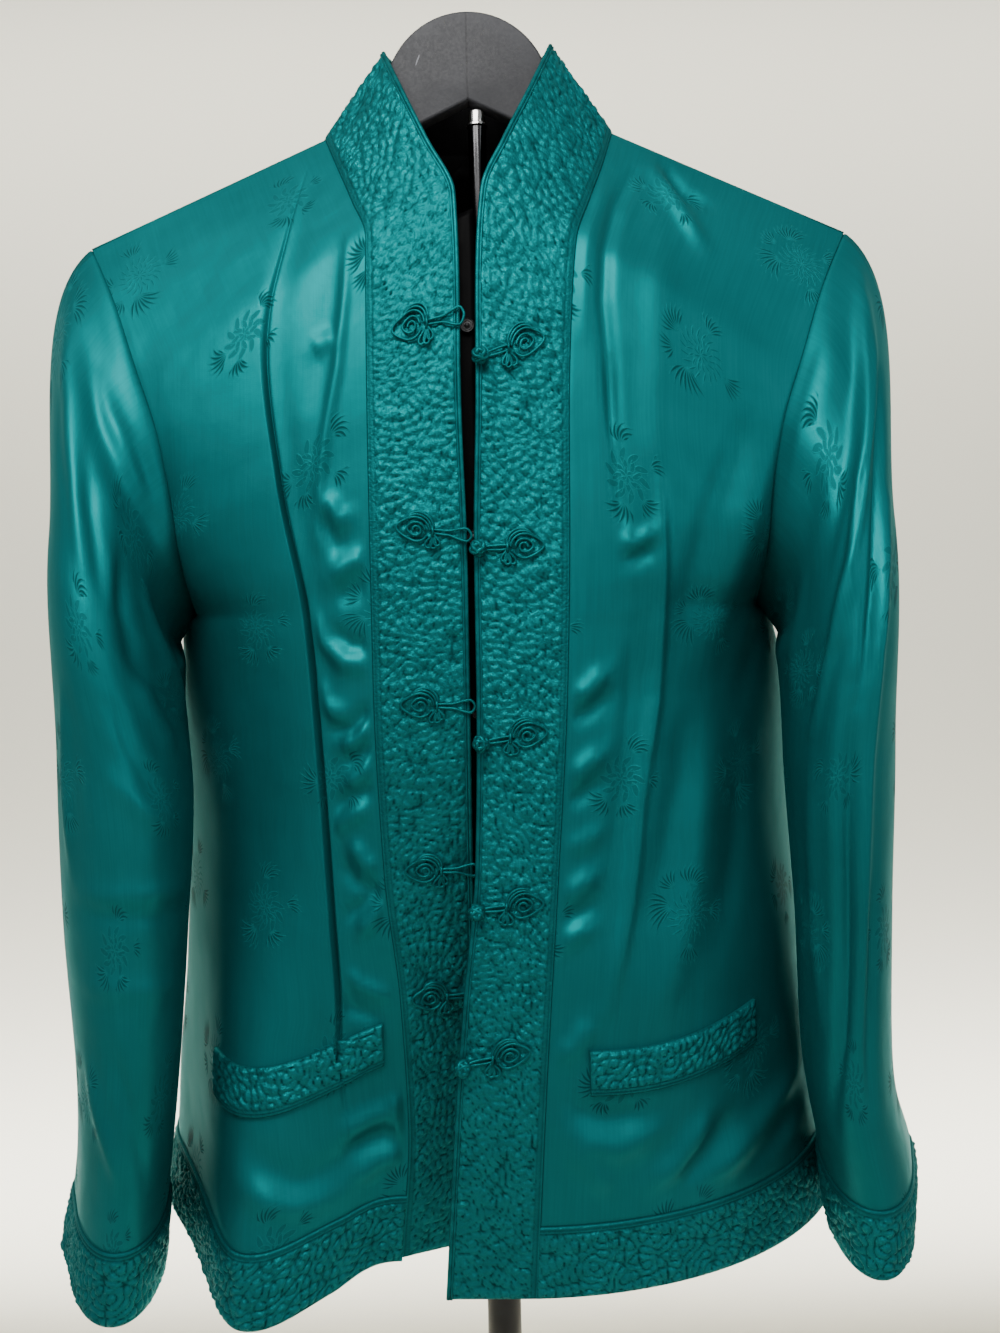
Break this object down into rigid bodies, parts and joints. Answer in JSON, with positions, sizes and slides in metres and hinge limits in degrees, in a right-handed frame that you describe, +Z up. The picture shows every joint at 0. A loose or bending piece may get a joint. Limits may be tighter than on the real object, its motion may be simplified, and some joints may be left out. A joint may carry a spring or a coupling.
{
  "type": "tang jacket on a garment stand",
  "caption": "Emerald satin jacquard tang jacket with quilted collar, front bands, cuffs and hem and cord frog closures, hung on a half-moon hanger board of a floor stand.",
  "frame": {"origin": "on the floor, at the middle of the stand's round base, below the pole", "axes": "+Z up, the jacket's front faces -Y, the wearer's left is +X"},
  "size_m": [0.478, 0.36, 1.4675],
  "materials": {
    "satin": "emerald silk satin jacquard",
    "quilt": "emerald satin, quilted over wadding",
    "cord": "satin bias cord",
    "lining": "black satin lining",
    "snap": "black press stud",
    "board": "charcoal grey board",
    "chrome": "polished chrome",
    "black": "black paint"
  },
  "bodies": {
    "root": {"back": "satin", "band_left": "quilt", "band_right": "quilt", "base": "black", "collar": "quilt", "cuff_left": "quilt", "cuff_right": "quilt", "frog_knot_1": "cord", "frog_knot_2": "cord", "frog_knot_3": "cord", "frog_knot_4": "cord", "frog_knot_5": "cord", "frog_loop_1": "cord", "frog_loop_2": "cord", "frog_loop_3": "cord", "frog_loop_4": "cord", "frog_loop_5": "cord", "front_left": "satin", "front_right": "satin", "hanger_board": "board", "hem_back": "quilt", "hem_left": "quilt", "hem_right": "quilt", "knot_button_1": "cord", "knot_button_2": "cord", "knot_button_3": "cord", "knot_button_4": "cord", "knot_button_5": "cord", "lining_back": "lining", "lower_pole": "black", "piping_collar": "cord", "piping_left": "cord", "piping_right": "cord", "pocket_welt_left": "quilt", "pocket_welt_right": "quilt", "pole_cap": "chrome", "pole_clamp": "black", "sleeve_left": "satin", "sleeve_right": "satin", "snap_1": "snap", "snap_2": "snap", "snap_3": "snap", "snap_4": "snap", "snap_5": "snap", "underlap": "lining", "upper_pole": "chrome"}
  },
  "joints": []
}
